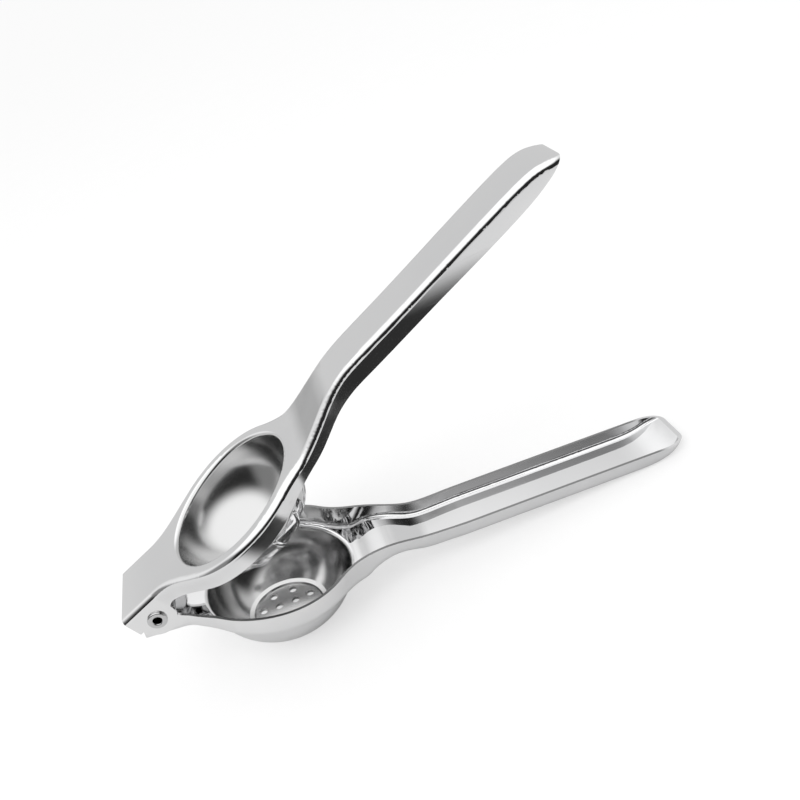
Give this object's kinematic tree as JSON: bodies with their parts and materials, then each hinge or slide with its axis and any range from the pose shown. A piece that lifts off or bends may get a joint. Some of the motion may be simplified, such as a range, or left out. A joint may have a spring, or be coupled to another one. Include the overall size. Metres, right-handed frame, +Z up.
{
  "type": "hinged lemon squeezer",
  "caption": "Stamped steel hand squeezer: a press cup on the upper lever swings down into a perforated bowl on the lower lever.",
  "frame": {"origin": "middle of the open tool's outline, on the table it lies on", "axes": "+X from the hinge towards the handle tips, +Y along the hinge pin, +Z up from the table"},
  "size_m": [0.2338, 0.0704, 0.1419],
  "materials": {
    "polished_steel": "mirror polished stainless steel",
    "pin_steel": "polished stainless steel"
  },
  "bodies": {
    "lower": {"lower_lever": "polished_steel", "hinge_pin": "pin_steel"},
    "upper": {"upper_lever": "polished_steel"}
  },
  "joints": [
    {"name": "lever_hinge", "type": "hinge", "parent": "lower", "child": "upper", "pos_m": [-0.10497, 0, 0.04104], "axis": [0, -1, 0], "range_deg": [-33, 58]}
  ]
}
